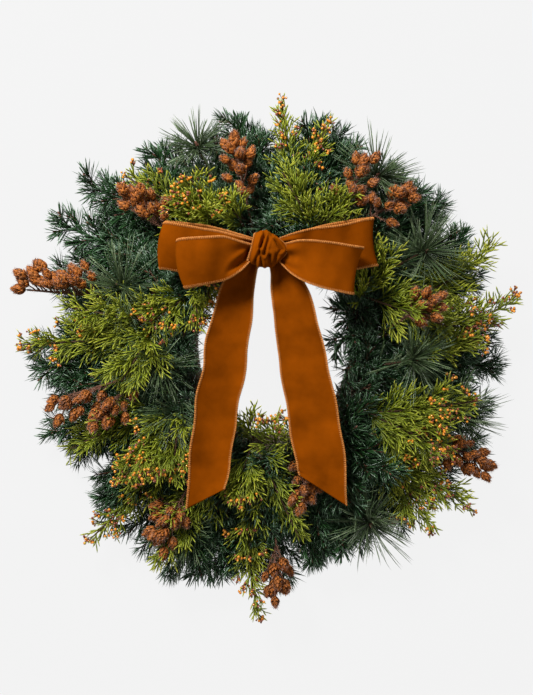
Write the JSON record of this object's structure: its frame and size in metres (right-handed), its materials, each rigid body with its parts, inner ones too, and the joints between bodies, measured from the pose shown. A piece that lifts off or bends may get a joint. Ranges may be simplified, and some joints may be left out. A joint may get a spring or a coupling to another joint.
{
  "type": "evergreen wreath",
  "caption": "Fresh evergreen wreath: a wound ring carrying sprays of fir, pine, cedar and papery cones, with a velvet ribbon bow wired on at the top.",
  "frame": {"origin": "on the surface that the wreath lies on, under the middle of its bounding box", "axes": "+Z out of the wreath's face, +Y towards the bow, which is the top when it hangs, +X to the right as seen from the front"},
  "size_m": [0.7068, 0.7412, 0.1675],
  "materials": {
    "wound_ring": "matt",
    "ribbon": "velvet",
    "tie_wire": "matt",
    "fir": "satin",
    "pine": "satin",
    "cedar": "matt",
    "cone": "matt"
  },
  "bodies": {
    "root": {"wound_ring": "wound_ring", "bow_knot": "ribbon", "bow_loop_left_front": "ribbon", "bow_loop_left_back": "ribbon", "bow_loop_right_front": "ribbon", "bow_loop_right_back": "ribbon", "bow_tail_left": "ribbon", "bow_tail_right": "ribbon", "bow_wire": "tie_wire", "fir_spray_01": "fir", "fir_spray_02": "fir", "fir_spray_03": "fir", "fir_spray_04": "fir", "fir_spray_05": "fir", "fir_spray_06": "fir", "fir_spray_07": "fir", "fir_spray_08": "fir", "fir_spray_09": "fir", "fir_spray_10": "fir", "fir_spray_11": "fir", "fir_spray_12": "fir", "fir_spray_13": "fir", "fir_spray_14": "fir", "pine_spray_01": "pine", "pine_spray_02": "pine", "pine_spray_03": "pine", "pine_spray_04": "pine", "pine_spray_05": "pine", "pine_spray_06": "pine", "pine_spray_07": "pine", "pine_spray_08": "pine", "pine_spray_09": "pine", "pine_spray_10": "pine", "cedar_spray_01": "cedar", "cedar_spray_02": "cedar", "cedar_spray_03": "cedar", "cedar_spray_04": "cedar", "cedar_spray_05": "cedar", "cedar_spray_06": "cedar", "cedar_spray_07": "cedar", "cedar_spray_08": "cedar", "cedar_spray_09": "cedar", "cedar_spray_10": "cedar", "cedar_spray_11": "cedar", "cedar_spray_12": "cedar", "cedar_spray_13": "cedar", "cedar_spray_14": "cedar", "cedar_spray_15": "cedar", "cedar_spray_16": "cedar", "cedar_spray_17": "cedar", "cone_spray_01": "cone", "cone_spray_02": "cone", "cone_spray_03": "cone", "cone_spray_04": "cone", "cone_spray_05": "cone", "cone_spray_06": "cone", "cone_spray_07": "cone", "cone_spray_08": "cone", "cone_spray_09": "cone", "cone_spray_10": "cone"}
  },
  "joints": []
}
